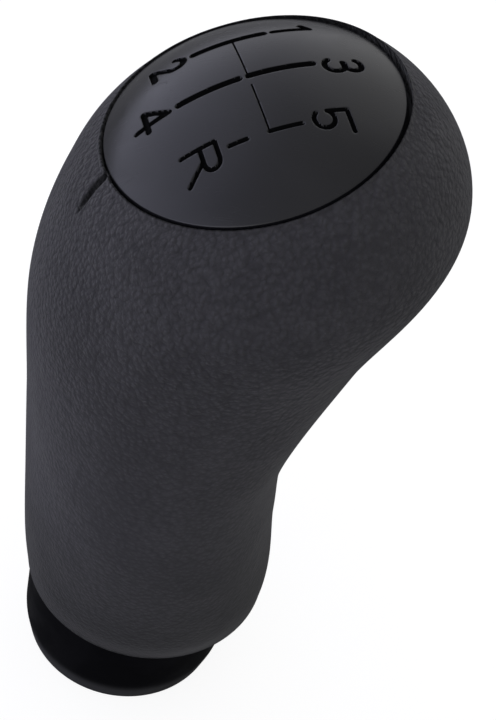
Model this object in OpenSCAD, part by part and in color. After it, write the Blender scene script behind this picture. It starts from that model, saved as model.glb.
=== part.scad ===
// Gear shift knob for a five-speed manual lever: a soft grip moulded over a rigid core,
// a domed cap engraved with the shift pattern, a threaded lever insert and a foot collar.
// +X is the car's forward, +Y its left, +Z runs up along the lever.
// The origin is the centre of the mouth of the lever thread.

/* [Lever] */
// Radius of the lever's thread bore (M12 x 1.25, at the thread's crests)
thread_r = 5.35; // [4:0.05:6]
// Depth of the thread bore
thread_len = 26; // [18:1:30]
// Wall of the lever insert round its thread, to the knurl's crests
insert_wall = 2.65; // [2:0.05:3.2]
// How far the lever insert runs on past the end of its thread
insert_end = 8; // [6:0.5:14]
// Wall of the core's tube round the insert
tube_wall = 2.4; // [1.8:0.1:3]

/* [Grip] */
// How far the grip's round foot stands out past the collar
foot_step = 3.3; // [2.4:0.1:5]
// Forward shift of the foot, and its height above the collar's foot
foot_at = [1.5, 14.5]; // [0:0.1:20]
// Neck section: forward shift, rise above the section below, lean, half depth, half width
neck = [0.6, 7.6, -3.1, 16.6, 19.5]; // [-20:0.1:40]
// Waist section, with the same five values
waist = [-1, 12.7, -6.2, 16, 21.1]; // [-20:0.1:40]
// Throat section, under the head
throat = [-1.9, 14.4, -6.3, 16.2, 21.6]; // [-20:0.1:40]
// Shoulder section, where the head swells
shoulder = [0.6, 17.5, -5, 20, 21.9]; // [-20:0.1:40]
// Belly section, the head's widest
belly = [4.8, 14.4, -11.3, 22.6, 22.8]; // [-30:0.1:40]
// How much nearer the lever's axis and how much higher the skin heads past the lip, under the cap
crown = [12.5, 4]; // [0:0.1:14]
// Length and depth of the mould's parting crease, which runs from the mouth down the rear of the head
crease = [8, 0.8]; // [0:0.05:20]
// Where the crease lies: degrees round from the rear towards the car's right
crease_turn = 7.7; // [-40:0.1:40]

/* [Cap] */
// Radius of the pattern cap
cap_r = 16.1; // [15:0.1:16.5]
// Forward shift of the cap's centre, and its rise above the belly section
cap_at = [1.6, 9.8]; // [0:0.1:20]
// Lean of the cap towards the driver
cap_lean = 21.8; // [12:0.2:28]
// Rise of the cap's dome above its edge
dome_rise = 5.3; // [3:0.1:6.5]
// Wall of the cap
cap_wall = 1.8; // [1.2:0.1:2.4]
// Gap round the cap, and how far the grip's mouth is shifted forward of it
ledge = [0.35, 0.05]; // [0:0.05:0.6]
// How far the lip of the mouth rises towards the front
lip_rise = 0.4; // [0:0.05:1]

/* [Shift pattern] */
// Depth of the engraving
engrave_depth = 0.4; // [0.2:0.05:0.9]
// Turn of the pattern about the cap's axis, in degrees
pattern_turn = 2.2; // [-10:0.1:10]
// Distance between the columns of gears
column_gap = 7.8; // [7:0.1:8.4]
// Reach of the gear grooves forward and back, in the middle column and in the outer ones
groove_reach = [7.15, 3.8]; // [3:0.05:7.6]
// Widths of the gear grooves, from the left column to the right
groove_w = [1.05, 0.85, 0.5]; // [0.3:0.05:1.4]
// Widths of the strokes of the characters, from the left column to the right
stroke_w = [0.8, 0.65, 0.5]; // [0.3:0.05:1]
// Width of the neutral line
neutral_w = 0.2; // [0.15:0.05:0.8]
// Height of the characters
char_h = 3.8; // [3:0.1:4.4]
// Gap between a groove and its character
char_gap = 1.15; // [0.8:0.05:1.3]

/* [Foot collar] */
// Gap between the core's tube and the collar
collar_gap = 0.7; // [0.6:0.05:1]
// Wall of the collar
collar_wall = 2.1; // [1.8:0.1:2.5]
// Height and stand-out of the lip round the collar's foot
collar_lip = [1.8, 0.3]; // [0:0.1:3]

/* [Hidden] */
$fn = 72;

// Clearance between pieces that fit into one another
fit = 0.05;
// Segments round the grip, and steps along each of its six spans
around = 56;
steps = 7;

// Lever insert: knurled bands, the plain foot below them, and the collar at its foot
insert_r = thread_r + insert_wall;
insert_len = thread_len + insert_end;
insert_foot = 5;
insert_top = 2;
band_gap = 3;
band_h = (insert_len - insert_foot - insert_top - band_gap) / 2;
stop_w = 1.6;
knurl_depth = 0.5;

// Heights of the sections' middles above the collar's foot
neck_z = foot_at[1] + neck[1];
waist_z = neck_z + waist[1];
throat_z = waist_z + throat[1];
shoulder_z = throat_z + shoulder[1];
belly_z = shoulder_z + belly[1];
cap_z = belly_z + cap_at[1];

// Collar round the core's tube, and the grip's foot round the collar
tube_r = insert_r + tube_wall;
collar_in = tube_r + collar_gap;
collar_r = collar_in + collar_wall;
foot_r = collar_r + foot_step;
foot_gap = 0.3;
collar_top = foot_at[1] - foot_gap;

// Snap clip in its grooves, and the keys that stop the collar from turning
clip_z = 8;
clip_wire = 0.6;
clip_room = 0.1;
clip_bite = 0.15;
clip_r = tube_r + clip_bite;
key_w = 3;
key_h = 2;
key_gap = 0.15;

// Core: neck tube, foot flange, fins and head plate
tube_foot = 2;
flange_over = 0.7;
flange_r = collar_r + flange_over;
flange_h = 2.6;
fin_t = 3;
fin_half_width = 15;
fin_half_depth = 11.6;
fin_back = 1.5;
fin_foot = 24;
tube_drop = 14;
fin_drop = 8;
blind_drop = 22;
plate_rim = 0.6;
plate_r = cap_r - plate_rim;
plate_t = 3.2;

// Cap seat: tray that fills the grip's mouth under the cap's edge
cap_skirt = 2.4;
seat_hollow = 1;
seat_floor = 1.6;
seat_step = 1.6;
step_gap = 0.15;
seat_r = cap_r + ledge[0] + ledge[1] - fit;
mouth_r = seat_r + fit;
step_top = -cap_skirt;
floor_top = step_top - seat_hollow;
plate_top = floor_top - seat_floor;

// Cap's legs with their hooks under the head plate
leg_inset = 3.5;
leg_ring_r = cap_r - leg_inset;
leg_w = 3.6;
leg_t = 1.3;
leg_room = 0.3;
hook = 0.75;
hook_h = 1.1;
hook_gap = 0.1;
leg_foot = plate_top - plate_t - hook_h - hook_gap;

// Seat screws, inside the ring of legs, and the bosses under the head plate that they bite into
screw_r = 1.25;
screw_head_r = 2.3;
screw_head_h = 1.3;
screw_len = 7.6;
screw_bite = 0.2;
pilot_end = 1;
boss_floor = 1.2;
cross_w = 0.6;
screw_turn = 60;
screw_ring_r = leg_ring_r - leg_t - hook - screw_head_r - leg_room;
seat_hole_r = screw_ring_r - screw_head_r - leg_t / 2;

// Dome of the cap as a part of a sphere, and the level its legs start from
dome_r = (cap_r * cap_r + dome_rise * dome_rise) / (2 * dome_rise);
function dome_z(r, sunk = 0) = dome_rise - dome_r + sqrt((dome_r - sunk) * (dome_r - sunk) - r * r);
leg_top = dome_z(leg_ring_r, cap_wall / 2);

// Sections of the grip from its foot to the lip round the cap
lip_w = 0.35;
lip_r = mouth_r + lip_w;
lip_drop = 0.6;
function raised(s, z) = [s[0], z, s[2], s[3], s[4]];
SECTIONS = [
    [foot_at[0], foot_at[1], 0, foot_r, foot_r],
    raised(neck, neck_z),
    raised(waist, waist_z),
    raised(throat, throat_z),
    raised(shoulder, shoulder_z),
    raised(belly, belly_z),
    [cap_at[0] + ledge[1] * cos(cap_lean), cap_z - lip_drop, -cap_lean, lip_r, lip_r]
];

// Smooth curve through the sections, at whole numbers the sections themselves
function section(i) =
    i < 0 ? 2 * SECTIONS[0] - SECTIONS[1]
    : i >= len(SECTIONS) ? SECTIONS[i - 1]
        + [-crown[1] * sin(cap_lean), crown[1] * cos(cap_lean), 0, -crown[0], -crown[0]]
    : SECTIONS[i];
function between(a, b, c, d, u) =
    0.5 * (2 * b + (c - a) * u + (2 * a - 5 * b + 4 * c - d) * u * u
        + (3 * b - 3 * c + d - a) * u * u * u);
function along(t) =
    let (i = min(floor(t), len(SECTIONS) - 2))
    between(section(i - 1), section(i), section(i + 1), section(i + 2), t - i);

// Angles round the grip from the front, with three close columns along the crease
crease_a = 180 + crease_turn;
crease_half = 1.4;
function round_angles(n) = concat(
    [for (k = [0 : n - 1]) let (a = 360 * k / n) if (a < crease_a - 1.6 * crease_half) a],
    [crease_a - crease_half, crease_a, crease_a + crease_half],
    [for (k = [0 : n - 1]) let (a = 360 * k / n) if (a > crease_a + 1.6 * crease_half) a]);
ANGLES = round_angles(around);

// Depth of the crease: full at the lip, run out to nothing over its length
crease_end = len(SECTIONS) - 1 - crease[0] / norm([belly[0] - cap_at[0] + belly[3] - lip_r,
                                                   cap_at[1]]);
function crease_at(t) =
    let (u = (t - crease_end) / (len(SECTIONS) - 1 - crease_end))
    u <= 0 ? 0 : crease[1] * sin(90 * min(1, 2.2 * u));

// One point of the grip's skin, on section s, at angle a, sunk by d and raised at the front by lift
function skin_point(s, a, d, lift) =
    let (x = (s[3] - d) * cos(a), y = (s[4] - d) * sin(a))
    [s[0] + x * cos(s[2]), y, s[1] - x * sin(s[2]) + lift * max(0, cos(a))];
function skin_ring(s, depth, lift = 0) =
    [for (a = ANGLES) skin_point(s, a, a == crease_a ? depth : 0, lift)];
function lift_at(t) = let (u = max(0, t - len(SECTIONS) + 2)) lip_rise * u * u;

// Closed solid through a stack of rings with the same number of points
module loft(rings) {
    n = len(rings[0]);
    m = len(rings);
    pts = [for (r = rings) each r];
    sides = [for (j = [0 : m - 2], k = [0 : n - 1])
        let (a = j * n + k, b = j * n + (k + 1) % n)
        each [[a, a + n, b], [b, a + n, b + n]]];
    foot = [[for (k = [0 : n - 1]) k]];
    head = [[for (k = [0 : n - 1]) (m - 1) * n + n - 1 - k]];
    polyhedron(pts, concat(sides, foot, head), convexity = 6);
}

// Places its children in the cap's plane, shift millimetres forward in it
module at_cap(shift = 0) {
    translate([cap_at[0], 0, cap_z]) rotate([0, -cap_lean, 0]) translate([shift, 0, 0])
        children();
}

// Places its children at the three seat screws
module at_screws() {
    for (a = [0 : 120 : 240]) rotate([0, 0, a + screw_turn]) translate([screw_ring_r, 0, 0]) children();
}

// Round body between two heights
module disc(r, low, high) {
    translate([0, 0, low]) cylinder(r = r, h = high - low);
}

// Outer form of the core, which the grip is moulded round
module core_form(grow = 0) {
    disc(tube_r, tube_foot, cap_z - tube_drop);
    translate([0, 0, foot_at[1] + 0.2]) cylinder(r = flange_r + grow, h = flange_h);
    difference() {
        union() {
            translate([-fin_t / 2, -fin_half_width, fin_foot])
                cube([fin_t, 2 * fin_half_width, cap_z - fin_foot - fin_drop]);
            translate([-fin_half_depth - fin_back, -fin_t / 2, fin_foot])
                cube([2 * fin_half_depth, fin_t, cap_z - fin_foot - 2 * fin_drop]);
        }
        at_cap() disc(60, plate_top - plate_t / 2, plate_top + 40);
    }
    at_cap() {
        disc(plate_r, plate_top - plate_t, plate_top);
        at_screws()
            disc(screw_head_r, floor_top - screw_len - pilot_end - boss_floor, plate_top - plate_t / 2);
    }
}

module grip_cover() {
    last = len(SECTIONS) - 1;
    rings = concat(
        [for (f = [[0.75, 0.75], [0.6, 0.25]])
            skin_ring(along(0) - [0, f[0], 0, f[1], f[1]], 0)],
        [for (i = [0 : last * steps])
            skin_ring(along(i / steps), crease_at(i / steps), lift_at(i / steps))],
        [skin_ring(along(last) + [0.05, 0.28, 0, -0.1, -0.1], crease[1], lip_rise)],
        [skin_ring(along(last) + [0.05, 0.42, 0, -lip_w - 0.05, -lip_w - 0.05], crease[1], lip_rise)]);
    color("#303036") difference() {
        loft(rings);
        core_form();
        // Room for the collar's top under the core's flange
        disc(flange_r, foot_at[1] - 1, foot_at[1] + 1);
        // Mouth that holds the cap and its seat
        at_cap(ledge[1]) disc(mouth_r, plate_top, 10);
        // Pockets for the hooks of the cap's legs
        at_cap() for (a = [45 : 90 : 315])
            rotate([0, 0, a]) leg_window(leg_foot - leg_room, plate_top - 1);
    }
}

module core() {
    color("#26262a") difference() {
        union() {
            core_form();
            // Keys that stop the collar from turning
            for (s = [-1, 1])
                translate([-key_w / 2, s > 0 ? tube_r - 1 : -collar_r + 2 * key_gap,
                           foot_at[1] + foot_gap - key_h])
                    cube([key_w, collar_r - tube_r + 1 - 2 * key_gap, key_h]);
        }
        // Bore for the insert and the blind space above it
        disc(insert_r, tube_foot - 1, insert_len);
        disc(insert_r - 2, insert_len - 1, cap_z - blind_drop);
        // Groove for the collar's snap clip
        rotate_extrude()
            translate([clip_r - clip_wire - clip_room / 2, clip_z - clip_wire - clip_room])
            square([4, 2 * (clip_wire + clip_room)]);
        at_cap() {
            // Pilot holes of the seat's screws
            at_screws() disc(screw_r - screw_bite, floor_top - screw_len - pilot_end, plate_top + 1);
            // Windows that the cap's legs snap through
            for (a = [45 : 90 : 315])
                rotate([0, 0, a]) leg_window(leg_foot - hook - hook_h, plate_top + 1);
        }
    }
}

// Slot for one leg of the cap
module leg_window(low, high) {
    translate([leg_ring_r - leg_t - hook, -leg_w / 2 - leg_room, low])
        cube([leg_t + 2 * hook + leg_room, leg_w + 2 * leg_room, high - low]);
}

module lever_insert() {
    teeth = 30;
    knurl = [for (k = [0 : 2 * teeth - 1])
        let (a = 180 * k / teeth, r = insert_r - 0.02 - (k % 2 == 0 ? 0 : knurl_depth))
        [r * cos(a), r * sin(a)]];
    color("#b9bcc0") difference() {
        union() {
            // Plain neck, two knurled bands and the groove between them
            disc(insert_r - 2 * knurl_depth, 0, insert_len - 0.2);
            for (z = [insert_foot, insert_foot + band_h + band_gap])
                translate([0, 0, z]) linear_extrude(band_h) polygon(knurl);
            // Collar that stops the insert against the core's foot
            disc(insert_r + stop_w, 0.2, tube_foot - fit);
        }
        disc(thread_r, -1, thread_len);
        // Cone left by the drill
        translate([0, 0, thread_len - 0.01]) cylinder(r1 = thread_r, r2 = 0, h = thread_r * 0.6);
    }
}

module cap_seat() {
    color("#3a3a3f") difference() {
        at_cap(ledge[1]) disc(seat_r, plate_top, step_top);
        at_cap() {
            // Hollow under the cap, inside the step that the cap's edge sits on
            disc(cap_r - seat_step, floor_top, 5);
            disc(seat_hole_r, plate_top - 1, 5);
            at_screws() disc(screw_r + step_gap, plate_top - 1, 5);
            for (a = [45 : 90 : 315])
                rotate([0, 0, a]) leg_window(plate_top - 1, 5);
        }
    }
}

// Three pan-head screws that hold the seat on the core's head plate
module seat_screws() {
    cross = screw_head_r - 1;
    color("#8e9196") at_cap() at_screws() difference() {
        union() {
            disc(screw_r - screw_bite, floor_top - screw_len, floor_top + screw_head_h / 2);
            disc(screw_head_r, floor_top, floor_top + screw_head_h);
        }
        // Cross recess
        for (t = [0, 90])
            rotate([0, 0, t]) translate([-cross, -cross_w / 2, floor_top + screw_head_h / 2])
                cube([2 * cross, cross_w, screw_head_h]);
    }
}

// Band of even width along a line of points, as one outline
function turn_at(p, i) =
    let (a = p[max(i - 1, 0)], b = p[i], c = p[min(i + 1, len(p) - 1)],
         u = i > 0 ? (b - a) / norm(b - a) : (c - b) / norm(c - b),
         v = i < len(p) - 1 ? (c - b) / norm(c - b) : u,
         m = (u + v) / norm(u + v))
    [-m[1], m[0]] / max(0.5, m * u);
function round_end(p, q, w) =
    let (a = atan2(p[1] - q[1], p[0] - q[0]))
    [for (t = [60, 0, -60]) p + w / 2 * [cos(a + t), sin(a + t)]];
function band(p, w) =
    let (n = len(p))
    concat([for (i = [0 : n - 1]) p[i] + turn_at(p, i) * w / 2],
        round_end(p[n - 1], p[n - 2], w),
        [for (i = [n - 1 : -1 : 0]) p[i] - turn_at(p, i) * w / 2],
        round_end(p[0], p[1], w));
module stroke(p, w) {
    polygon(band(p, w));
}
function arc(c, r, from, to, n) =
    [for (k = [0 : n]) let (a = from + (to - from) * k / n) c + r * [cos(a), sin(a)]];

// Characters one unit high and about 0.7 wide, middle at 0, upright along +Y
function glyph(c) =
    c == "1" ? [[[-0.3, 0.32], [0, 0.5], [0, -0.5]]]
    : c == "2" ? [concat(arc([0.02, 0.2], 0.28, 165, -30, 7), [[-0.24, -0.46], [0.36, -0.46]])]
    : c == "3" ? [concat(arc([0, 0.25], 0.24, 150, -70, 7), [[-0.1, 0.02]]),
                  arc([0, -0.22], 0.27, 105, -150, 9)]
    : c == "4" ? [[[0.16, 0.5], [-0.38, -0.18], [0.4, -0.18]], [[0.16, 0.5], [0.16, -0.5]]]
    : c == "5" ? [[[0.4, 0.46], [-0.26, 0.46], [-0.26, -0.02]], arc([-0.03, -0.2], 0.27, 150, -140, 9)]
    : [[[-0.4, -0.5], [-0.4, 0.48], [0.1, 0.48]],
       concat(arc([0.1, 0.26], 0.22, 90, -90, 6), [[-0.36, 0.04]]),
       [[0, 0.04], [0.44, -0.5]]];

// One character, ahead of (+1) or behind (-1) the end of its groove, aside by y
module mark(c, column, way, reach, aside = 0) {
    translate([way * (reach + char_gap + char_h / 2), (1 - column) * column_gap + aside]) rotate(-90)
        for (line = glyph(c)) stroke([for (p = line) p * char_h], stroke_w[column]);
}

// The whole pattern seen from above the cap: forward is +X, the car's left is +Y
neutral_x = 0.45;
open_gap = 0.55;
module shift_pattern() {
    far = column_gap;
    mid = groove_reach[0];
    side = groove_reach[1];
    rotate(pattern_turn) {
        stroke([[-side, far], [side, far]], groove_w[0]);
        stroke([[-mid, 0], [-open_gap, 0]], groove_w[1]);
        stroke([[open_gap, 0], [mid, 0]], groove_w[1]);
        stroke([[neutral_x, -far], [side, -far]], groove_w[2]);
        stroke([[-side, -far], [-side / 2, -far]], groove_w[2]);
        stroke([[neutral_x, far], [neutral_x, 0]], neutral_w);
        stroke([[neutral_x, -1.4], [neutral_x, -far]], neutral_w);
        mark("1", 0, 1, side);
        mark("2", 0, -1, side);
        mark("3", 1, 1, mid, -0.4);
        mark("4", 1, -1, mid, 0.5);
        mark("5", 2, 1, side);
        mark("R", 2, -1, side, -0.3);
    }
}

module pattern_cap() {
    color("#4a4b52") at_cap() difference() {
        union() {
            difference() {
                intersection() {
                    translate([0, 0, dome_rise - dome_r]) sphere(r = dome_r);
                    disc(cap_r, step_top + fit, dome_rise + 1);
                }
                intersection() {
                    translate([0, 0, dome_rise - dome_r]) sphere(r = dome_r - cap_wall);
                    disc(cap_r - cap_wall, step_top - 1, dome_rise + 1);
                }
            }
            for (a = [45 : 90 : 315])
                rotate([0, 0, a]) cap_leg();
        }
        // Engraved pattern, cut to an even depth below the dome
        difference() {
            linear_extrude(dome_rise + 2) shift_pattern();
            translate([0, 0, dome_rise - dome_r]) sphere(r = dome_r - engrave_depth);
        }
    }
}

// Leg with a hook under the core's head plate
module cap_leg() {
    translate([leg_ring_r - leg_t, -leg_w / 2, leg_foot]) cube([leg_t, leg_w, leg_top - leg_foot]);
    translate([leg_ring_r, leg_w / 2, leg_foot]) rotate([90, 0, 0]) linear_extrude(leg_w)
        polygon([[-leg_t / 4, 0], [hook / 8, 0], [hook, hook_h], [-leg_t / 4, hook_h]]);
}

module foot_collar() {
    lip_h = collar_lip[0];
    out = collar_r + collar_lip[1];
    color("#0e0e12") difference() {
        rotate_extrude() union() {
            translate([collar_in, 0]) square([collar_wall, collar_top]);
            translate([collar_in, 0]) square([out - collar_in - lip_h / 2, lip_h]);
            translate([out - lip_h / 2, lip_h / 2]) circle(r = lip_h / 2);
        }
        // Groove inside for the snap clip
        rotate_extrude() translate([0, clip_z - clip_wire - clip_room])
            square([clip_r + clip_wire + 5 * clip_room, 2 * (clip_wire + clip_room)]);
        // Notches for the core's keys
        for (s = [-1, 1])
            translate([-key_w / 2 - key_gap, s > 0 ? 0 : -collar_r - 5,
                       foot_at[1] + foot_gap - key_h - key_gap])
                cube([key_w + 2 * key_gap, collar_r + 5, 10]);
    }
}

// Open wire ring between the core's groove and the collar's
module collar_clip() {
    color("#a5a8ad") translate([0, 0, clip_z]) rotate([0, 0, 25])
        rotate_extrude(angle = 310) translate([clip_r, 0]) circle(r = clip_wire);
}

grip_cover();
core();
lever_insert();
cap_seat();
seat_screws();
pattern_cap();
foot_collar();
collar_clip();
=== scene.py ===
import math

import bpy
import numpy as np
from mathutils import Matrix, Vector


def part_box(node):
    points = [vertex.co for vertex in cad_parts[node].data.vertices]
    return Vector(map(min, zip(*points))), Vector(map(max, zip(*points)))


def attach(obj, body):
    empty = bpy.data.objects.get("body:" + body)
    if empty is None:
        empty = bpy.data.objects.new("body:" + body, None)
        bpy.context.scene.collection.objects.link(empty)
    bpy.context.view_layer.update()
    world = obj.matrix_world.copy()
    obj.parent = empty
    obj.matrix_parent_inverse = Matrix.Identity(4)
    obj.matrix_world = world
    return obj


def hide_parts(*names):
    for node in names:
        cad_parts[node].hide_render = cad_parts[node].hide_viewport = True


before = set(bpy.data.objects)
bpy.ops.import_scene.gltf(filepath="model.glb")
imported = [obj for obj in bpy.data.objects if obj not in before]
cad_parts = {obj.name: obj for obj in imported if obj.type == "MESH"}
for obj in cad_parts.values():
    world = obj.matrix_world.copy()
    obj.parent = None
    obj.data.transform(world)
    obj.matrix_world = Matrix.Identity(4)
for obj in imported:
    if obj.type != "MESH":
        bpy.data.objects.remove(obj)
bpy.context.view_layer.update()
mm = 0.001
white = (1.0, 1.0, 1.0, 1.0)
print("frame loaded")


# Small helpers for meshes and shader nodes

def smooth(x):
    x = np.clip(x, 0.0, 1.0)
    return x * x * (3.0 - 2.0 * x)


def ringAt(angle, radius, z, forward=0.0):
    # points round an upright axis
    return np.stack([forward + radius * np.cos(angle), radius * np.sin(angle), np.full(len(angle), z)], -1)


def bezier(path, u):
    return np.array([(1 - u) ** 3, 3 * u * (1 - u) ** 2, 3 * u * u * (1 - u), u ** 3]) @ path


def lighten(colour, share):
    return tuple(v * share for v in colour[:3]) + (1.0,)


def shownPiece(name, points, faces, materials, body="root"):
    mesh = bpy.data.meshes.new(name)
    mesh.from_pydata([tuple(p) for p in np.asarray(points, float) * mm], [], faces)
    mesh.polygons.foreach_set("use_smooth", [True] * len(mesh.polygons))
    mesh.update()
    piece = bpy.data.objects.new(name, mesh)
    bpy.context.scene.collection.objects.link(piece)
    for material in materials:
        piece.data.materials.append(material)
    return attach(piece, body)


def tubeFaces(rows, columns, closed=False):
    # quads between a stack of rings; a closed stack joins its last ring to its first
    faces = []
    for j in range(rows if closed else rows - 1):
        k = (j + 1) % rows
        for i in range(columns):
            n = (i + 1) % columns
            faces.append((j * columns + i, j * columns + n, k * columns + n, k * columns + i))
    return faces


def put(tree, kind, props=None, wires=None):
    node = tree.nodes.new(kind)
    for key, value in (props or {}).items():
        setattr(node, key, value)
    for key, value in (wires or {}).items():
        if isinstance(value, bpy.types.NodeSocket):
            tree.links.new(value, node.inputs[key])
        else:
            node.inputs[key].default_value = value
    return node


def math2(tree, operation, a, b=0.0, clamp=False):
    node = put(tree, "ShaderNodeMath", {"operation": operation, "use_clamp": clamp}, {0: a, 1: b})
    return node.outputs[0]


def ramp(tree, value, low, high, toLow=0.0, toHigh=1.0):
    node = put(tree, "ShaderNodeMapRange", {"interpolation_type": "SMOOTHSTEP"},
               {0: value, 1: low, 2: high, 3: toLow, 4: toHigh})
    return node.outputs[0]


def blendColour(tree, factor, a, b):
    node = put(tree, "ShaderNodeMix", {"data_type": "RGBA"}, {0: factor, 6: a, 7: b})
    return node.outputs[2]


def scaleVector(tree, vector, factor):
    return put(tree, "ShaderNodeVectorMath", {"operation": "SCALE"}, {0: vector, "Scale": factor}).outputs[0]


def dotWith(tree, vector, way):
    return put(tree, "ShaderNodeVectorMath", {"operation": "DOT_PRODUCT"}, {0: vector, 1: way}).outputs["Value"]


def splitAxes(tree, vector):
    return put(tree, "ShaderNodeSeparateXYZ", None, {0: vector}).outputs


def newGroup(name, inputs, outputs):
    group = bpy.data.node_groups.new(name, "ShaderNodeTree")
    for label, kind, value in inputs:
        socket = group.interface.new_socket(label, in_out="INPUT", socket_type=kind)
        if value is not None:
            socket.default_value = value
    for label, kind in outputs:
        group.interface.new_socket(label, in_out="OUTPUT", socket_type=kind)
    return group, group.nodes.new("NodeGroupInput").outputs, group.nodes.new("NodeGroupOutput").inputs


def useGroup(tree, group, wires):
    return put(tree, "ShaderNodeGroup", {"node_tree": group}, wires).outputs


def newMaterial(name):
    material = bpy.data.materials.new(name)
    material.use_nodes = True
    tree = material.node_tree
    shader = tree.nodes["Principled BSDF"]
    coords = tree.nodes.new("ShaderNodeTexCoord").outputs["Object"]
    return material, tree, shader, scaleVector(tree, coords, 1.0 / mm)  # the place is in millimetres


def bump(tree, height, depth, strength=1.0, over=None):
    # depth in millimetres
    wires = {"Height": height, "Distance": depth * mm, "Strength": strength}
    if over is not None:
        wires["Normal"] = over
    return put(tree, "ShaderNodeBump", None, wires).outputs[0]


# Effects shared by several materials

def makeGrain():
    # moulded grain: rounded cells with fine valleys, and slow patches
    group, i, o = newGroup("mouldedGrain",
                           [("Place", "NodeSocketVector", None), ("Cell", "NodeSocketFloat", 0.5),
                            ("Fine", "NodeSocketFloat", 0.35)],
                           [("Height", "NodeSocketFloat"), ("Valleys", "NodeSocketFloat"),
                            ("Patches", "NodeSocketFloat")])
    t = group
    scale = math2(t, "DIVIDE", 1.0, i["Cell"])
    scaled = scaleVector(t, i["Place"], scale)
    wobble = put(t, "ShaderNodeTexNoise", None, {"Vector": scaled, "Scale": 0.7, "Detail": 2.0})
    shift = put(t, "ShaderNodeVectorMath", {"operation": "MULTIPLY_ADD"},
                {0: wobble.outputs["Color"], 1: (0.9, 0.9, 0.9), 2: scaled})
    cells = put(t, "ShaderNodeTexVoronoi", {"feature": "SMOOTH_F1"},
                {"Vector": shift.outputs[0], "Scale": 1.0, "Smoothness": 0.4})
    fine = put(t, "ShaderNodeTexNoise", None,
               {"Vector": scaled, "Scale": 2.6, "Detail": 3.0, "Roughness": 0.6})
    dome = math2(t, "SUBTRACT", 1.0, cells.outputs["Distance"])
    rest = math2(t, "SUBTRACT", 1.0, i["Fine"])
    high = math2(t, "MULTIPLY", dome, rest)
    low = math2(t, "MULTIPLY", fine.outputs[0], i["Fine"])
    slow = put(t, "ShaderNodeTexNoise", None, {"Vector": i["Place"], "Scale": 0.07, "Detail": 3.0})
    t.links.new(math2(t, "ADD", high, low), o["Height"])
    t.links.new(ramp(t, cells.outputs["Distance"], 0.42, 0.8), o["Valleys"])
    t.links.new(ramp(t, slow.outputs[0], 0.35, 0.65), o["Patches"])
    return group


def makeHandWear():
    # areas that hands have rubbed a little smoother
    group, i, o = newGroup("handWear", [("Place", "NodeSocketVector", None), ("Patch", "NodeSocketFloat", 14.0)],
                           [("Mask", "NodeSocketFloat")])
    scale = math2(group, "DIVIDE", 1.0, i["Patch"])
    cloud = put(group, "ShaderNodeTexNoise", None,
                {"Vector": i["Place"], "Scale": scale, "Detail": 4.0, "Roughness": 0.55, "Distortion": 0.4})
    group.links.new(ramp(group, cloud.outputs[0], 0.42, 0.68), o["Mask"])
    return group


def makeDust():
    # a few light specks that sit on the surface
    group, i, o = newGroup("looseDust", [("Place", "NodeSocketVector", None), ("Spacing", "NodeSocketFloat", 3.0),
                                         ("Size", "NodeSocketFloat", 0.05)],
                           [("Mask", "NodeSocketFloat")])
    scale = math2(group, "DIVIDE", 1.0, i["Spacing"])
    specks = put(group, "ShaderNodeTexVoronoi", None, {"Vector": i["Place"], "Scale": scale})
    near = ramp(group, specks.outputs["Distance"], i["Size"], 0.0)
    pick = put(group, "ShaderNodeSeparateColor", None, {0: specks.outputs["Color"]})
    some = math2(group, "GREATER_THAN", pick.outputs[0], 0.62)
    group.links.new(math2(group, "MULTIPLY", near, some), o["Mask"])
    return group


def makeScratches():
    # hair-fine marks, all but lost until the light runs along them
    group, i, o = newGroup("hairMarks", [("Place", "NodeSocketVector", None), ("Width", "NodeSocketFloat", 0.05),
                                         ("Turn", "NodeSocketFloat", 0.4)],
                           [("Mask", "NodeSocketFloat")])
    turned = put(group, "ShaderNodeVectorRotate", {"rotation_type": "Z_AXIS"},
                 {"Vector": i["Place"], "Angle": i["Turn"]})
    drawn = put(group, "ShaderNodeVectorMath", {"operation": "MULTIPLY"},
                {0: turned.outputs[0], 1: (0.12, 2.2, 0.12)})
    wavy = put(group, "ShaderNodeTexNoise", None, {"Vector": drawn.outputs[0], "Scale": 1.0, "Detail": 1.0,
                                                   "Distortion": 0.6})
    off = math2(group, "ABSOLUTE", math2(group, "SUBTRACT", wavy.outputs[0], 0.5))
    line = ramp(group, off, i["Width"], 0.0)
    broken = put(group, "ShaderNodeTexNoise", None, {"Vector": i["Place"], "Scale": 0.35, "Detail": 2.0})
    group.links.new(math2(group, "MULTIPLY", line, ramp(group, broken.outputs[0], 0.5, 0.62)), o["Mask"])
    return group


grain = makeGrain()
handWear = makeHandWear()
looseDust = makeDust()
hairMarks = makeScratches()
print("shared effects built")


# Camera, set by the photograph's view of the knob

cameraView = {
    "azimuth": -23.3713,
    "elevation": 44.1264,
    "roll": 15.4232,
    "distance": 183.6959,  # mm
    "target": (8.4085, 0.0, 53.991),
    "lens": 74.788,
    "sensor": 36.0,
    "clipStart": 0.005,  # m
}


def makeCamera(v):
    az, el, roll = (math.radians(v[k]) for k in ("azimuth", "elevation", "roll"))
    back = Vector((math.sin(az) * math.cos(el), -math.cos(az) * math.cos(el), math.sin(el)))
    right = Vector((math.cos(az), math.sin(az), 0.0))
    up = back.cross(right)
    side = right * math.cos(roll) + up * math.sin(roll)
    top = -right * math.sin(roll) + up * math.cos(roll)
    spot = (Vector(v["target"]) + back * v["distance"]) * mm
    data = bpy.data.cameras.new("photoView")
    data.lens = v["lens"]
    data.sensor_width = v["sensor"]
    data.clip_start = v["clipStart"]
    camera = bpy.data.objects.new("photoView", data)
    camera.matrix_world = Matrix.Translation(spot) @ Matrix((side, top, back)).transposed().to_4x4()
    bpy.context.scene.collection.objects.link(camera)
    bpy.context.scene.camera = camera


makeCamera(cameraView)
print("camera placed")


# Grip: one soft skin from the foot to the lip round the cap

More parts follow.
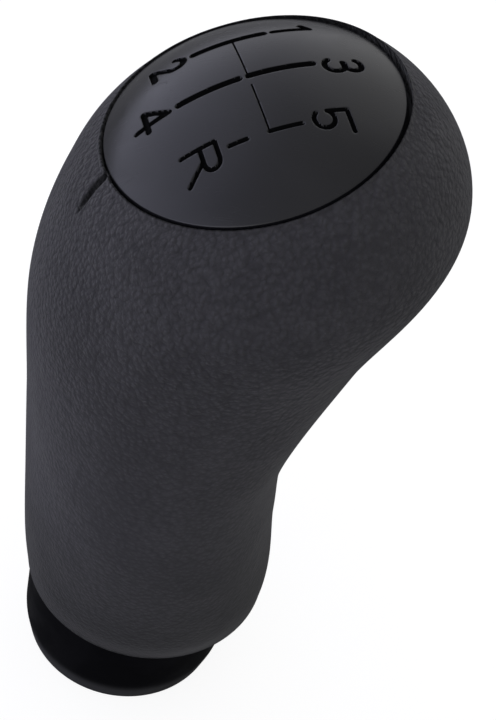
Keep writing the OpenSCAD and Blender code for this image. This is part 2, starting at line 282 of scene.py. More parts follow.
gripSkin = {
    # forward shift, height, lean in degrees, half depth, half width
    "sections": [(1.5, 14.5, 0.0, 16.5, 16.5), (0.6, 22.1, -3.1, 16.6, 19.5), (-1.0, 34.8, -6.2, 16.0, 21.1),
                 (-1.9, 49.2, -6.3, 16.2, 21.6), (0.6, 66.7, -5.0, 20.0, 21.9), (4.8, 81.1, -11.3, 22.6, 22.8)],
    "crown": (12.5, 4.0),
    "columns": 300,
    "ringsPerSpan": 44,
    "rearDensity": 0.75,
    "footRound": 0.75,
    "footSteps": 8,
    "footRecess": [(13.9, 17.3, 0.0), (13.9, 14.05, 0.0), (14.05, 13.8, 0.1)],  # radius, height, forward shift
    "bore": [(10.6, 74.0), (10.4, 45.0), (10.4, 17.3)],  # radius and height of the hollow round the core's neck
    "creaseLength": 8.0,
    "creaseDepth": 0.8,
    "creaseWidth": 0.42,
    "creaseTaper": 0.55,  # share of the width at its lower end
    "creaseRunIn": 2.2,  # its full depth is reached after 1 / 2.2 of its length
    "creaseRadius": 17.0,  # distance from the axis at which its width is measured
    "creaseTurn": 7.7,  # degrees round from the rear, towards the car's right
    "darkColour": (0.0365, 0.0355, 0.0402, 1.0),
    "lightColour": (0.0650, 0.0635, 0.0705, 1.0),
    "footPaintedShade": (16.0, 44.0, 0.35),  # painted shade near the floor: from and to a height in mm, share of the colour left at the foot
    # painted shade: the colour that the crease and the mouth round the cap turn to
    "creaseShadeColour": (0.0020, 0.0020, 0.0030, 1.0),
    "dustColour": (0.09, 0.09, 0.10, 1.0),
    "cell": 0.6,
    "wideCells": 3.2,  # size of the slow grain, in cells
    "fineShares": (0.35, 0.5),  # of the grain and of the slow grain
    "heightShares": (0.9, 0.25),  # of the grain and of the patches in the skin's tone
    "toneReach": (0.25, 1.0),
    "valleyShare": 0.35,
    "creaseShadeFade": (0.02, 0.35),  # shares of the crease's depth between which its painted shade turns black
    "mouthShadeFade": (0.4, 0.75),  # shares of the way over the lip between which the painted shade in the mouth turns black
    "bumpDepth": 0.6,
    "wideBump": 0.6,
    "bumpShare": (45.0, 84.0, 0.25),  # from and to a height in mm, share left on the rubbed neck
    "frontShare": (-15.0, 5.0, 0.6),  # from and to a forward distance in mm, share left towards the front
    "roughness": (0.62, 0.82),
    "shine": 0.22,
    "sheen": 0.135,
    "sheenRoughness": 0.5,
}

patternCap = {
    "radius": 16.1,
    "centre": (1.6, 90.9),
    "lean": 21.8,
    "rise": 5.3,
    "wall": 1.8,
    "skirt": 2.35,
    "cells": 288,  # across the disc
    "edgeRound": 0.1,
    "edgeCurve": [(0.0, 0.0), (0.9, 0.66), (1.0, 1.3), (1.0, 2.8)],  # outwards and down, in shares of edgeRound
    "skirtChamfer": 0.1,
    "undersideRings": (9.0, 3.0),
    "engraveDepth": 0.4,
    "edgeSoft": 0.14,
    "patternTurn": 2.2,
    "columnGap": 7.8,
    "reach": (7.15, 3.8),
    "grooveWidths": (1.05, 0.85, 0.5),  # from the left column to the right
    "strokeWidths": (0.8, 0.65, 0.5),
    "neutralWidth": 0.2,
    "neutralPlace": 0.45,
    "neutralBreak": -1.4,  # where the neutral line goes on below the middle row
    "middleGap": 0.55,
    "gears": (("1", 0, 1, 0), ("2", 0, -1, 0), ("3", 1, 1, -0.4), ("4", 1, -1, 0.5),
              ("5", 2, 1, 0), ("R", 2, -1, -0.3)),  # figure, column, way, shift aside
    "figureHeight": 3.8,
    "figureGap": 1.15,
    "colour": (0.0100, 0.0100, 0.0122, 1.0),
    "engravingColour": (0.0012, 0.0012, 0.0014, 1.0),
    "roughness": (0.18, 0.26),
}

# the grip's mouth round the cap, in the cap's own plane
capSeat = {
    "mouthRadius": 16.45,
    "shift": 0.12,
    "lipWidth": 0.35,
    "lipDrop": 0.36,
    "lipRise": 0.3,
    "lipCurve": [(0.0, 0.0), (-0.06, 0.26), (0.02, 0.62), (0.0, 0.05)],  # two from the skin, two from the mouth
    "lipSteps": 9,
    "ledge": -1.6,
    "plateTop": -5.0,
    "plateCorner": 0.2,
    "plateHole": 12.0,
}


def capPoint(x, y, z):
    # from the cap's own plane to the frame
    lean = math.radians(patternCap["lean"])
    return np.stack([patternCap["centre"][0] + x * math.cos(lean) - z * math.sin(lean), y + 0 * x,
                     patternCap["centre"][1] + x * math.sin(lean) + z * math.cos(lean)], -1)


def makeGripMesh(g):
    lean = math.radians(patternCap["lean"])
    lip = capSeat["mouthRadius"] + capSeat["lipWidth"]
    rim = (patternCap["centre"][0] + capSeat["shift"] * math.cos(lean),
           patternCap["centre"][1] - capSeat["lipDrop"], -patternCap["lean"], lip, lip)
    s = np.array(g["sections"] + [rim])
    inward, upward = g["crown"]
    before = 2 * s[0] - s[1]
    after = s[-1] + np.array([-upward * math.sin(lean), upward * math.cos(lean), 0.0, -inward, -inward])
    s = np.vstack([before, s, after])
    last = len(s) - 3

    def along(t):
        k = min(int(t), last - 1)
        a, b, c, d = s[k:k + 4]
        u = t - k
        return 0.5 * (2 * b + (c - a) * u + (2 * a - 5 * b + 4 * c - d) * u * u
                      + (3 * b - 3 * c + d - a) * u ** 3)

    n = g["columns"]
    phi = 2 * math.pi * np.arange(n) / n
    turned = math.radians(g["creaseTurn"])
    angle = phi + g["rearDensity"] * np.sin(phi) + turned  # close columns along the crease
    belly = g["sections"][-1]
    creaseEnd = last - g["creaseLength"] / math.hypot(belly[0] - patternCap["centre"][0] + belly[3] - lip,
                                                      patternCap["centre"][1] - belly[1])

    def crease(t):
        u = (t - creaseEnd) / (last - creaseEnd)
        if u <= 0:
            return np.zeros(n)
        depth = g["creaseDepth"] * math.sin(math.pi / 2 * min(1.0, g["creaseRunIn"] * u))
        width = g["creaseWidth"] * (g["creaseTaper"] + (1 - g["creaseTaper"]) * u)
        off = np.abs(angle - math.pi - turned) * g["creaseRadius"]
        return depth * np.exp(-(off / width) ** 2)

    front = np.maximum(0.0, np.cos(angle)) * capSeat["lipRise"]  # the lip rises towards the front

    def skinRing(sec, t):
        sunk = crease(t)
        x = (sec[3] - sunk) * np.cos(angle)
        y = (sec[4] - sunk) * np.sin(angle)
        tilt = math.radians(sec[2])
        lift = front * max(0.0, t - last + 1) ** 2
        return np.stack([sec[0] + x * math.cos(tilt), y, sec[1] - x * math.sin(tilt) + lift], -1)

    rings = [ringAt(angle, *place) for place in g["footRecess"]]
    tone = {}  # painted shade for each ring: how far its points lie in the crease, or down in the mouth
    foot = s[1]
    r = g["footRound"]
    for u in np.linspace(0.0, 1.0, g["footSteps"])[:-1]:
        turn = u * math.pi / 2
        rings.append(ringAt(angle, foot[3] - r + r * math.sin(turn), foot[1] - r * math.cos(turn), foot[0]))
    steps = g["ringsPerSpan"]
    for i in range(last * steps + 1):
        # painted shade follows the crease's depth
        tone[len(rings)] = crease(i / steps)
        rings.append(skinRing(along(i / steps), i / steps))

    # lip: over the edge and down into the mouth, in the cap's plane
    cut = crease(last)
    mouth = capSeat["mouthRadius"]
    x0 = (rim[0] - patternCap["centre"][0]) * math.cos(lean) - capSeat["lipDrop"] * math.sin(lean)
    z0 = -(rim[0] - patternCap["centre"][0]) * math.sin(lean) - capSeat["lipDrop"] * math.cos(lean)
    path = np.array([(edge + aside, z0 + above) for edge, (aside, above)
                     in zip((lip, lip, mouth, mouth), capSeat["lipCurve"])])
    fadeFrom, fadeTo = g["mouthShadeFade"]
    for u in np.linspace(0.0, 1.0, capSeat["lipSteps"])[1:]:
        radius, z = bezier(path, u)
        centre = x0 + (capSeat["shift"] - x0) * u
        radius = np.maximum(radius - cut * (1 - 0.5 * u), mouth - 0.1)
        ring = capPoint(centre + radius * np.cos(angle), radius * np.sin(angle), z - 0.5 * cut * u)
        ring[:, 2] += front
        # painted shade darkens the lip towards black on its way down into the mouth
        tone[len(rings)] = np.maximum(cut, g["creaseDepth"] * smooth((u - fadeFrom) / (fadeTo - fadeFrom)))
        rings.append(ring)
    top, corner = capSeat["plateTop"], capSeat["plateCorner"]
    # the mouth's wall and floor below take the full painted shade
    for radius, z in ((mouth, capSeat["ledge"]), (mouth, top + corner), (mouth - corner, top),
                      (capSeat["plateHole"], top)):
        tone[len(rings)] = np.full(n, g["creaseDepth"])
        rings.append(capPoint(capSeat["shift"] + radius * np.cos(angle), radius * np.sin(angle), z))
    rings += [ringAt(angle, radius, z) for radius, z in g["bore"]]
    # painted shade as a share of the crease's depth, one value for each point
    dark = np.concatenate([tone.get(k, np.zeros(n)) for k in range(len(rings))]) / g["creaseDepth"]
    return np.concatenate(rings), tubeFaces(len(rings), n, closed=True), dark


def makeGripMaterial(g):
    material, t, shader, place = newMaterial("softGrip")
    small = useGroup(t, grain, {"Place": place, "Cell": g["cell"], "Fine": g["fineShares"][0]})
    wide = useGroup(t, grain, {"Place": place, "Cell": g["cell"] * g["wideCells"], "Fine": g["fineShares"][1]})
    worn = useGroup(t, handWear, {"Place": place, "Patch": 16.0})
    dust = useGroup(t, looseDust, {"Place": place, "Spacing": 4.0, "Size": 0.03})
    tone = math2(t, "MULTIPLY", small["Height"], g["heightShares"][0])
    tone = math2(t, "ADD", tone, math2(t, "MULTIPLY", wide["Patches"], g["heightShares"][1]))
    tone = ramp(t, tone, *g["toneReach"])
    colour = blendColour(t, tone, g["darkColour"], g["lightColour"])
    colour = blendColour(t, math2(t, "MULTIPLY", small["Valleys"], g["valleyShare"]), colour, g["darkColour"])
    colour = blendColour(t, dust["Mask"], colour, g["dustColour"])
    # painted shade: black in the crease and down into the mouth, from the mesh's crease attribute
    sunk = put(t, "ShaderNodeAttribute", {"attribute_name": "crease"}).outputs["Fac"]
    colour = blendColour(t, ramp(t, sunk, *g["creaseShadeFade"]), colour, g["creaseShadeColour"])
    forward, _, level = splitAxes(t, place)
    # painted shade: the skin's colour darkens towards the foot, where less light reaches it
    low, high, share = g["footPaintedShade"]
    colour = scaleVector(t, colour, ramp(t, level, low, high, share, 1.0))
    t.links.new(colour, shader.inputs["Base Color"])
    t.links.new(ramp(t, worn["Mask"], 0.0, 1.0, g["roughness"][1], g["roughness"][0]), shader.inputs["Roughness"])
    height = math2(t, "ADD", small["Height"], math2(t, "MULTIPLY", wide["Height"], g["wideBump"]))
    low, high, share = g["bumpShare"]
    height = math2(t, "MULTIPLY", height, ramp(t, level, low, high, share, 1.0))
    low, high, share = g["frontShare"]
    height = math2(t, "MULTIPLY", height, ramp(t, forward, low, high, 1.0, share))
    t.links.new(bump(t, height, g["bumpDepth"]), shader.inputs["Normal"])
    shader.inputs["Specular IOR Level"].default_value = g["shine"]
    shader.inputs["Sheen Weight"].default_value = g["sheen"]
    shader.inputs["Sheen Roughness"].default_value = g["sheenRoughness"]
    return material


points, faces, paintedGripShade = makeGripMesh(gripSkin)
gripPiece = shownPiece("gripSkin", points, faces, [makeGripMaterial(gripSkin)])
# painted shade of the crease and the mouth, carried as a point attribute
gripPiece.data.attributes.new("crease", "FLOAT", "POINT").data.foreach_set("value", paintedGripShade)
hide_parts("grip_cover")
print("grip built", len(faces) * 2, "triangles")


# Cap: domed disc with the gear pattern pressed into it

def arc(cx, cy, r, start, end, count):
    return [(cx + r * math.cos(math.radians(start + (end - start) * k / count)),
             cy + r * math.sin(math.radians(start + (end - start) * k / count))) for k in range(count + 1)]


figures = {
    "1": [[(-0.3, 0.32), (0, 0.5), (0, -0.5)]],
    "2": [arc(0.02, 0.2, 0.28, 165, -30, 14) + [(-0.24, -0.46), (0.36, -0.46)]],
    "3": [arc(0, 0.25, 0.24, 150, -70, 14) + [(-0.1, 0.02)], arc(0, -0.22, 0.27, 105, -150, 16)],
    "4": [[(0.16, 0.5), (-0.38, -0.18), (0.4, -0.18)], [(0.16, 0.5), (0.16, -0.5)]],
    "5": [[(0.4, 0.46), (-0.26, 0.46), (-0.26, -0.02)], arc(-0.03, -0.2, 0.27, 150, -140, 16)],
    "R": [[(-0.4, -0.5), (-0.4, 0.48), (0.1, 0.48)], arc(0.1, 0.26, 0.22, 90, -90, 12) + [(-0.36, 0.04)],
          [(0, 0.04), (0.44, -0.5)]],
}


def patternStrokes(c):
    # (line of points, width) in the cap's plane: forward is x, the car's left is y
    far, (mid, side), at, gap = c["columnGap"], c["reach"], c["neutralPlace"], c["middleGap"]
    left, middle, right = c["grooveWidths"]
    strokes = [([(-side, far), (side, far)], left), ([(-mid, 0), (-gap, 0)], middle),
               ([(gap, 0), (mid, 0)], middle), ([(at, -far), (side, -far)], right),
               ([(-side, -far), (-side / 2, -far)], right),
               ([(at, far), (at, 0)], c["neutralWidth"]),
               ([(at, c["neutralBreak"]), (at, -far)], c["neutralWidth"])]
    h = c["figureHeight"]
    for name, column, way, aside in c["gears"]:
        x = way * (c["reach"][0 if column == 1 else 1] + c["figureGap"] + h / 2)
        y = (1 - column) * far + aside
        for line in figures[name]:
            strokes.append(([(x + q * h, y - p * h) for p, q in line], c["strokeWidths"][column]))
    cos, sin = math.cos(math.radians(c["patternTurn"])), math.sin(math.radians(c["patternTurn"]))
    return [([(x * cos - y * sin, x * sin + y * cos) for x, y in line], width) for line, width in strokes]


def patternEdge(x, y, c):
    # distance to the nearest edge of the pattern, negative inside it, and the way out of it
    best, outX, outY = np.full_like(x, 99.0), np.zeros_like(x), np.zeros_like(x)
    for line, width in patternStrokes(c):
        for (ax, ay), (bx, by) in zip(line[:-1], line[1:]):
            dx, dy = bx - ax, by - ay
            u = np.clip(((x - ax) * dx + (y - ay) * dy) / (dx * dx + dy * dy), 0, 1)
            sx, sy = x - ax - u * dx, y - ay - u * dy
            off = np.hypot(sx, sy)
            nearer = off - width / 2 < best
            best = np.where(nearer, off - width / 2, best)
            outX = np.where(nearer, sx / np.maximum(off, 1e-6), outX)
            outY = np.where(nearer, sy / np.maximum(off, 1e-6), outY)
    return best, outX, outY


def makeCapMesh(c):
    ball = (c["radius"] ** 2 + c["rise"] ** 2) / (2 * c["rise"])

    def dome(r, sunk=0.0):
        return c["rise"] - ball + np.sqrt((ball - sunk) ** 2 - r * r)

    m = c["cells"]
    inner = c["radius"] - c["edgeRound"]
    grid = np.linspace(-1, 1, m + 1)
    gy, gx = np.meshgrid(grid, grid, indexing="ij")
    x = inner * gx * np.sqrt(1 - gy ** 2 / 2)
    y = inner * gy * np.sqrt(1 - gx ** 2 / 2)
    away, outX, outY = patternEdge(x, y, c)
    close = np.abs(away) < inner / m  # points near an edge move onto it, so it is drawn clean
    x, y = x - np.where(close, away * outX, 0), y - np.where(close, away * outY, 0)
    away = np.where(close, 0.0, away)
    z = dome(np.hypot(x, y)) - c["engraveDepth"] * smooth(-away / c["edgeSoft"])
    points = [capPoint(x, y, z).reshape(-1, 3)]
    sunk = (away <= 0).reshape(-1)
    at = np.arange((m + 1) ** 2).reshape(m + 1, m + 1)
    faces = np.stack([at[:-1, :-1], at[:-1, 1:], at[1:, 1:], at[1:, :-1]], -1).reshape(-1, 4).tolist()

    # edge, skirt and hollow underside as rings on the disc's own border points
    border = np.concatenate([at[0, :-1], at[:-1, -1], at[-1, :0:-1], at[:0:-1, 0]])
    turn = np.arctan2(y.reshape(-1)[border], x.reshape(-1)[border])
    z1 = float(dome(inner))
    path = np.array([(inner + out * c["edgeRound"], z1 - down * c["edgeRound"]) for out, down in c["edgeCurve"]])
    profile = [tuple(bezier(path, u)) for u in np.linspace(0, 1, 7)[1:]]
    hollow, chamfer = c["radius"] - c["wall"], c["skirtChamfer"]
    profile += [(c["radius"], -c["skirt"] + chamfer), (c["radius"] - chamfer, -c["skirt"]), (hollow, -c["skirt"])]
    profile += [(r, float(dome(r, c["wall"]))) for r in (hollow,) + c["undersideRings"]]
    n = len(border)
    start = (m + 1) ** 2
    above = border
    for r, h in profile:
        points.append(capPoint(r * np.cos(turn), r * np.sin(turn), np.full(n, h)))
        below = start + np.arange(n)
        faces += np.stack([above, below, np.roll(below, -1), np.roll(above, -1)], -1).tolist()
        above = below
        start += n
    points.append(capPoint(np.zeros(1), np.zeros(1), np.full(1, c["rise"] - c["wall"])))
    faces += [(int(a), start, int(b)) for a, b in zip(above, np.roll(above, -1))]
    slots = [1 if k < m * m and all(sunk[i] for i in face) else 0 for k, face in enumerate(faces)]
    return np.concatenate(points), faces, slots


def makeCapMaterial(c):
    material, t, shader, place = newMaterial("capPlastic")
    worn = useGroup(t, handWear, {"Place": place, "Patch": 9.0})
    lines = useGroup(t, hairMarks, {"Place": place, "Width": 0.012, "Turn": 0.5})
    fine = useGroup(t, grain, {"Place": place, "Cell": 0.22, "Fine": 0.6})
    dust = useGroup(t, looseDust, {"Place": place, "Spacing": 6.0, "Size": 0.018})
    colour = blendColour(t, worn["Mask"], c["colour"], lighten(c["colour"], 1.25))
    colour = blendColour(t, dust["Mask"], colour, gripSkin["dustColour"])
    t.links.new(colour, shader.inputs["Base Color"])
    rough = ramp(t, worn["Mask"], 0.0, 1.0, c["roughness"][1], c["roughness"][0])
    rough = math2(t, "ADD", rough, math2(t, "MULTIPLY", lines["Mask"], 0.12))
    t.links.new(rough, shader.inputs["Roughness"])
    t.links.new(bump(t, fine["Height"], 0.004), shader.inputs["Normal"])
    shader.inputs["Specular IOR Level"].default_value = 0.5
    return material


def makeEngravingMaterial(c):
    # dull black on the floor of the pattern
    material, t, shader, place = newMaterial("engravingBlack")
    fine = useGroup(t, grain, {"Place": place, "Cell": 0.12, "Fine": 0.7})
    colour = blendColour(t, fine["Valleys"], c["engravingColour"], lighten(c["engravingColour"], 2.2))
    t.links.new(colour, shader.inputs["Base Color"])
    t.links.new(ramp(t, fine["Height"], 0.0, 1.0, 0.8, 0.95), shader.inputs["Roughness"])
    t.links.new(bump(t, fine["Height"], 0.02), shader.inputs["Normal"])
    shader.inputs["Specular IOR Level"].default_value = 0.06
    return material


points, faces, slots = makeCapMesh(patternCap)
capPiece = shownPiece("patternCap", points, faces,
                      [makeCapMaterial(patternCap), makeEngravingMaterial(patternCap)])
capPiece.data.polygons.foreach_set("material_index", slots)
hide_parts("pattern_cap")
print("cap built", sum(len(f) - 2 for f in faces), "triangles")


# Lever insert: knurled steel bush with the real helical thread

leverInsert = {
    "threadRadius": 5.35,
    "threadDepth": 0.62,
    "pitch": 1.25,
    "threadLength": 26.0,
    "length": 33.8,
    "radius": 7.98,
    "knurlDepth": 0.5,
    "teeth": 30,
    "bands": ((5.0, 17.0), (20.0, 32.0)),
    "knurlEnd": (0.35, 0.05, 0.5),  # drop, height of the first edge and run of the bands' chamfers
    "stop": (9.6, 0.2, 1.95),  # radius and heights of the stop collar
    "stopBevel": 0.15,
    "footBevel": (0.25, 0.19),
    "endBevel": 0.2,
    "mouthChamfer": 1.0,
    "centreHole": (0.4, 0.6),  # radius and depth of the lathe's centre in the closed end
    "drillCone": 0.6,  # height of the bore's cone, in shares of the bore's radius
    "drillFlat": 0.25,
    "runOut": 1.5,
    "stepsPerTurn": 10,
    "columns": 120,
    "colour": (0.46, 0.46, 0.47, 1.0),
    "tarnish": (0.30, 0.29, 0.28, 1.0),
    "tarnishShare": 0.6,
    "roughness": (0.24, 0.42),
}


def makeInsertMesh(b):
    n = b["columns"]
    angle = 2 * math.pi * np.arange(n) / n
    knurl = b["knurlDepth"] * (0.5 - 0.5 * np.cos(angle * b["teeth"]))
    neck = b["radius"] - 2 * b["knurlDepth"]
    stopR, stopLow, stopHigh = b["stop"]
    bevel, (footIn, footUp) = b["stopBevel"], b["footBevel"]
    profile = [(b["threadRadius"] + b["mouthChamfer"], 0.0), (neck - footIn, 0.0), (neck, footUp),
               (neck, stopLow), (stopR - bevel, stopLow), (stopR, stopLow + bevel),
               (stopR, stopHigh - bevel), (stopR - bevel, stopHigh), (neck, stopHigh)]
    crest = b["radius"] - knurl
    drop, edge, run = b["knurlEnd"]
    for low, high in b["bands"]:
        profile += [(neck, low), (crest - drop, low + edge), (crest, low + run),
                    (crest, high - run), (crest - drop, high - edge), (neck, high)]
    hole, depth = b["centreHole"]
    tip = b["threadLength"] + b["threadRadius"] * b["drillCone"]
    profile += [(neck, b["length"] - b["endBevel"]), (neck - b["endBevel"], b["length"]), (hole, b["length"]),
                (hole, b["length"] - depth), (hole, tip - b["drillFlat"]), (b["threadRadius"], b["threadLength"])]
    rings = [ringAt(angle, radius, z) for radius, z in profile]
    steps = int(b["threadLength"] / b["pitch"] * b["stepsPerTurn"])
    for k in range(steps, -1, -1):
        z = b["threadLength"] * k / steps
        turn = (z / b["pitch"] - angle / (2 * math.pi)) % 1.0
        vee = np.clip(1.25 - 2.5 * np.abs(turn - 0.5), 0.0, 1.0)  # flat crests and roots
        runOut = smooth(np.array((b["threadLength"] - z) / b["runOut"]))
        leadIn = max(0.0, b["mouthChamfer"] - z)
        rings.append(ringAt(angle, b["threadRadius"] + np.maximum(b["threadDepth"] * vee * runOut, leadIn), z))
    return np.concatenate(rings), tubeFaces(len(rings), n, closed=True)


def makeSteelMaterial(b):
    material, t, shader, place = newMaterial("platedSteel")
    worn = useGroup(t, handWear, {"Place": place, "Patch": 3.0})
    lines = useGroup(t, hairMarks, {"Place": place, "Width": 0.05, "Turn": 0.9})
    colour = blendColour(t, math2(t, "MULTIPLY", worn["Mask"], b["tarnishShare"]), b["colour"], b["tarnish"])
    t.links.new(colour, shader.inputs["Base Color"])
    rough = ramp(t, worn["Mask"], 0.0, 1.0, *b["roughness"])
    t.links.new(math2(t, "ADD", rough, math2(t, "MULTIPLY", lines["Mask"], 0.15)), shader.inputs["Roughness"])
    rings = put(t, "ShaderNodeTexNoise", None, {"Vector": place, "Scale": 6.0, "Detail": 2.0})
    t.links.new(bump(t, rings.outputs[0], 0.006), shader.inputs["Normal"])
    shader.inputs["Metallic"].default_value = 1.0
    return material


steel = makeSteelMaterial(leverInsert)
points, faces = makeInsertMesh(leverInsert)
insertPiece = shownPiece("leverInsert", points, faces, [steel])
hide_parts("lever_insert")
print("lever insert built", len(faces) * 2, "triangles")


# Foot collar: a turned ring whose lower edge slopes in towards the gaiter

footCollar = {
    "inside": 11.1,
    "foot": 13.45,
    "slopeTop": (14.3, 3.6),  # radius and height where the slope meets the wall
    "wallTop": (14.45, 13.5),
    "neck": 13.2,
    "neckEdge": 0.02,
    "rounds": (0.25, 0.3, 1.1, 0.3, 0.1, 0.2, 0.25),  # one for each corner of the profile
    "clipClearance": 0.1,
    "columns": 200,
    "colour": (0.0032, 0.0032, 0.0042, 1.0),
    "roughness": (0.40, 0.50),
    "shine": 0.03,
    "cell": 0.25,
    "bumpDepth": 0.004,
    # painted highlight: the lower slope is coloured lighter where it would reflect the floor
    "slopeHighlightColour": (0.0480, 0.0480, 0.0510, 1.0),
    "slopeHighlightFade": (1.8, 4.1),  # heights between which the painted highlight on the slope fades into the black
}


def roundCorner(before, corner, after, size, steps=5):
    # a short arc of points in place of a corner
    before, corner, after = (np.array(v, float) for v in (before, corner, after))
    a = corner + (before - corner) * min(0.45, size / np.linalg.norm(before - corner))
    b = corner + (after - corner) * min(0.45, size / np.linalg.norm(after - corner))
    return [tuple((1 - u) ** 2 * a + 2 * u * (1 - u) * corner + u * u * b) for u in np.linspace(0, 1, steps)]


def makeCollarMesh(c):
    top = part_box("foot_collar")[1][2] / mm
    clipLow, clipHigh = (np.array(v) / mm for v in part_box("collar_clip"))
    corners = [(c["inside"], 0.0), (c["foot"], 0.0), c["slopeTop"], c["wallTop"],
               (c["neck"], c["wallTop"][1] + c["neckEdge"]), (c["neck"], top), (c["inside"], top)]
    profile = []
    for k, corner in enumerate(corners):
        profile += roundCorner(corners[k - 1], corner, corners[(k + 1) % len(corners)], c["rounds"][k])
    # groove of the snap clip, on the way down the bore
    clear = c["clipClearance"]
    groove, above, below = clipHigh[1] + clear, clipHigh[2] + clear, clipLow[2] - clear
    profile += [(c["inside"], above), (groove, above), (groove, below), (c["inside"], below)]
    n = c["columns"]
    angle = 2 * math.pi * np.arange(n) / n
    rings = [ringAt(angle, r, z) for r, z in profile]
    return np.concatenate(rings), tubeFaces(len(rings), n, closed=True)


# Pieces that keep their own solid and only get a finish

seatPlastic = {"colour": (0.016, 0.016, 0.018, 1.0), "roughness": (0.49, 0.61), "cell": 0.3, "depth": 0.012}
corePlastic = {"colour": (0.018, 0.018, 0.019, 1.0), "roughness": (0.54, 0.66), "cell": 0.35, "depth": 0.015}


def makeMouldedPlastic(name, colour, roughness, cell, depth, shine=0.5, lip=None):
    material, t, shader, place = newMaterial(name)
    fine = useGroup(t, grain, {"Place": place, "Cell": cell, "Fine": 0.6})
    worn = useGroup(t, handWear, {"Place": place, "Patch": 7.0})
    dust = useGroup(t, looseDust, {"Place": place, "Spacing": 5.0, "Size": 0.02})
    shade = blendColour(t, worn["Mask"], colour, lighten(colour, 1.35))
    if lip:  # the lowest edge is painted lighter: a painted reflection of the floor on the slope
        lipHighlightColour, (full, gone) = lip
        height = splitAxes(t, place)[2]
        shade = blendColour(t, ramp(t, height, full, gone, 1.0, 0.0), shade, lipHighlightColour)
    shade = blendColour(t, dust["Mask"], shade, gripSkin["dustColour"])
    t.links.new(shade, shader.inputs["Base Color"])
    t.links.new(ramp(t, worn["Mask"], 0.0, 1.0, roughness[1], roughness[0]), shader.inputs["Roughness"])
    t.links.new(bump(t, fine["Height"], depth), shader.inputs["Normal"])
    shader.inputs["Specular IOR Level"].default_value = shine
    return material


def finishNode(node, material):
    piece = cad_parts[node]
    piece.data.materials.clear()
    piece.data.materials.append(material)


points, faces = makeCollarMesh(footCollar)
collarMaterial = makeMouldedPlastic("collarPlastic", footCollar["colour"], footCollar["roughness"],
                                    footCollar["cell"], footCollar["bumpDepth"], footCollar["shine"],
                                    (footCollar["slopeHighlightColour"], footCollar["slopeHighlightFade"]))
collarPiece = shownPiece("footCollar", points, faces, [collarMaterial])
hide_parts("foot_collar")
finishNode("cap_seat", makeMouldedPlastic("seatPlastic", **seatPlastic))
finishNode("core", makeMouldedPlastic("corePlastic", **corePlastic))
finishNode("seat_screws", steel)
finishNode("collar_clip", steel)
print("collar built; seat, core, screws and clip finished")


# Pale floor, white surroundings and soft lamps

studio = {
    "floorColour": (0.25, 0.25, 0.25, 1.0),
    "floorLift": 0.88,       # what the camera sees of the floor besides the lamps' light
    "floorGloss": 0.05,      # what reflections see of it
    "floorHalf": 6.0,        # m from the middle to an edge
    "floorRoughness": 0.9,
    "floorShine": 0.1,
    "horizon": 0.67,         # strength of the surroundings near the horizon
    "overhead": 0.42,
    "heightReach": (0.05, 0.75),  # sines of the elevations between which one turns into the other
    "brightSide": (-0.918, 0.397, 0.0),  # the photograph's left, where the window is
    "brightShare": 0.42,
    "lobes": [
        # soft lights in the surroundings: middle, cosine of their reach, share
        ((-0.764, 0.577, 0.289), 0.50, 0.46),
        ((0.470, 0.600, 0.648), 0.80, 0.30),
        ((-0.779, -0.624, 0.052), 0.74, 1.15),
    ],
    "windowColour": (0.81, 0.82, 1.0, 1.0),
    "windowReach": (-0.3, 0.9),
    "aim": (4.0, 0.0, 60.0),  # mm, where the lamps point
    "lamps": [
        # name, place in mm, size in mm, watts, colour
        ("rightLamp", (330.0, -190.0, 240.0), 260.0, 0.04, (1.0, 0.99, 0.97)),
    ],
}


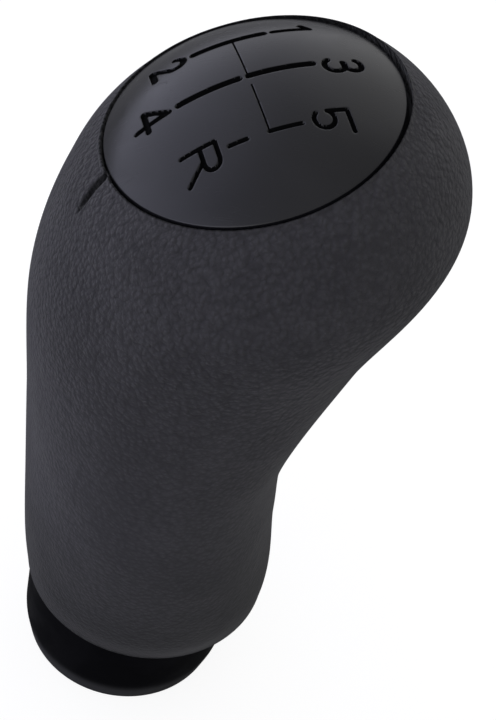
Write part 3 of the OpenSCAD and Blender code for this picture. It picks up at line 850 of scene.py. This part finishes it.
def makeStudio(s):
    mesh = bpy.data.meshes.new("floor")
    h = s["floorHalf"]
    mesh.from_pydata([(-h, -h, 0.0), (h, -h, 0.0), (h, h, 0.0), (-h, h, 0.0)], [], [(0, 1, 2, 3)])
    floor = bpy.data.objects.new("floor", mesh)
    bpy.context.scene.collection.objects.link(floor)
    material, t, shader, _ = newMaterial("paleFloor")
    shader.inputs["Roughness"].default_value = s["floorRoughness"]
    shader.inputs["Specular IOR Level"].default_value = s["floorShine"]
    shader.inputs["Base Color"].default_value = s["floorColour"]
    path = t.nodes.new("ShaderNodeLightPath")
    glow = put(t, "ShaderNodeEmission", None, {"Color": white})
    mirrored = math2(t, "MAXIMUM", path.outputs["Is Glossy Ray"], path.outputs["Is Transmission Ray"])
    lift = math2(t, "MAXIMUM", math2(t, "MULTIPLY", path.outputs["Is Camera Ray"], s["floorLift"]),
                 math2(t, "MULTIPLY", mirrored, s["floorGloss"]))
    t.links.new(lift, glow.inputs["Strength"])
    both = t.nodes.new("ShaderNodeAddShader")
    t.links.new(shader.outputs[0], both.inputs[0])
    t.links.new(glow.outputs[0], both.inputs[1])
    t.links.new(both.outputs[0], t.nodes["Material Output"].inputs["Surface"])
    mesh.materials.append(material)

    world = bpy.data.worlds.new("studioWorld")
    bpy.context.scene.world = world
    world.use_nodes = True
    t = world.node_tree
    back = t.nodes["Background"]
    direction = t.nodes.new("ShaderNodeTexCoord").outputs["Generated"]
    level = ramp(t, splitAxes(t, direction)[2], *s["heightReach"], s["horizon"], s["overhead"])
    aside = dotWith(t, direction, s["brightSide"])
    share = math2(t, "ADD", 1.0, math2(t, "MULTIPLY", aside, s["brightShare"]))
    level = math2(t, "MULTIPLY", level, share)
    for middle, reach, strength in s["lobes"]:
        level = math2(t, "ADD", level, ramp(t, dotWith(t, direction, middle), reach, 1.0, 0.0, strength))
    path = t.nodes.new("ShaderNodeLightPath")
    strength = put(t, "ShaderNodeMix", {"data_type": "FLOAT"}, {0: path.outputs["Is Camera Ray"], 2: level, 3: 1.0})
    t.links.new(strength.outputs[0], back.inputs["Strength"])
    tint = blendColour(t, ramp(t, aside, *s["windowReach"]), white, s["windowColour"])
    tint = blendColour(t, path.outputs["Is Camera Ray"], tint, white)
    t.links.new(tint, back.inputs["Color"])

    aim = Vector(s["aim"]) * mm
    for name, spot, size, watts, colour in s["lamps"]:
        lamp = bpy.data.lights.new(name, "AREA")
        lamp.shape = "DISK"
        lamp.size = size * mm
        lamp.energy = watts
        lamp.color = colour
        holder = bpy.data.objects.new(name, lamp)
        spot = Vector(spot) * mm
        holder.location = spot
        holder.rotation_euler = (aim - spot).to_track_quat("-Z", "Y").to_euler()
        bpy.context.scene.collection.objects.link(holder)


makeStudio(studio)
bpy.context.scene.view_settings.view_transform = "Standard"
print("studio lit")
